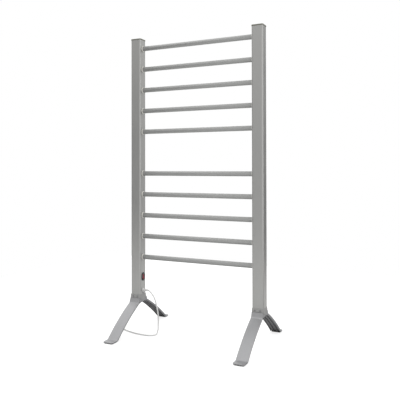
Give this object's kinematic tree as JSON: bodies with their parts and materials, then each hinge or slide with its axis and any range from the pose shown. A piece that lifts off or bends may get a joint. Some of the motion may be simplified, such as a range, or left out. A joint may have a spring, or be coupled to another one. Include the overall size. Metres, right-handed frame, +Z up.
{
  "type": "heated towel rack",
  "caption": "Free-standing electric heated towel rack: round rungs between two square post tubes on curved spreading legs, with a wide middle gap, a red rocker switch and a mains cord.",
  "frame": {"origin": "on the floor, midway between the four feet", "axes": "+Z up, +X along the rungs towards the post without the switch, +Y from the front feet to the back feet"},
  "size_m": [0.5621, 0.37, 1.004],
  "materials": {
    "block": "moulded",
    "bush": "moulded, satin",
    "cap": "moulded, fine texture",
    "contact": "tinned",
    "cord_white": "soft satin",
    "grommet": "silicone, translucent white",
    "hub": "matt die casting",
    "lead_blue": "insulated lead",
    "lead_brown": "insulated lead",
    "leg": "satin anodised strip",
    "pad": "matt",
    "post": "satin anodised, fine vertical grain",
    "rung": "satin anodised tube",
    "steel": "zinc plated",
    "switch_black": "glossy black",
    "switch_red": "glossy deep red",
    "tie": "soft strap",
    "wire": "silicone insulation"
  },
  "bodies": {
    "rack": {"post_left": "post", "post_right": "post", "cap_left": "cap", "cap_right": "cap", "rung_01": "rung", "rung_02": "rung", "rung_03": "rung", "rung_04": "rung", "rung_05": "rung", "rung_06": "rung", "rung_07": "rung", "rung_08": "rung", "rung_09": "rung", "rung_10": "rung", "rung_bushes_left": "bush", "rung_bushes_right": "bush", "wire_grommets": "grommet", "leg_hub_left": "hub", "leg_hub_right": "hub", "leg_front_left": "leg", "leg_back_left": "leg", "leg_front_right": "leg", "leg_back_right": "leg", "foot_pad_front_left": "pad", "foot_pad_back_left": "pad", "foot_pad_front_right": "pad", "foot_pad_back_right": "pad", "leg_screws": "steel", "hub_screws": "steel", "switch_bezel": "switch_black", "switch_housing": "switch_black", "rocker_pin": "steel", "switch_contact": "contact", "switch_terminals": "contact", "heating_wire": "wire", "riser_wire": "wire", "thermal_cutoff": "block", "terminal_block": "block", "lead_live": "lead_brown", "lead_switched": "lead_brown", "lead_neutral": "lead_blue", "strain_relief": "cord_white", "relief_nut": "cord_white", "cord": "cord_white", "cord_hank": "cord_white", "cord_tie": "tie", "cord_tail": "cord_white", "plug_body": "cord_white", "plug_blades": "contact"},
    "rocker": {"rocker": "switch_red"}
  },
  "joints": [
    {"name": "rocker_tilt", "type": "hinge", "parent": "rack", "child": "rocker", "pos_m": [-0.2042, -0.001, 0.182], "axis": [0, 1, 0], "range_deg": [0, 20]}
  ]
}
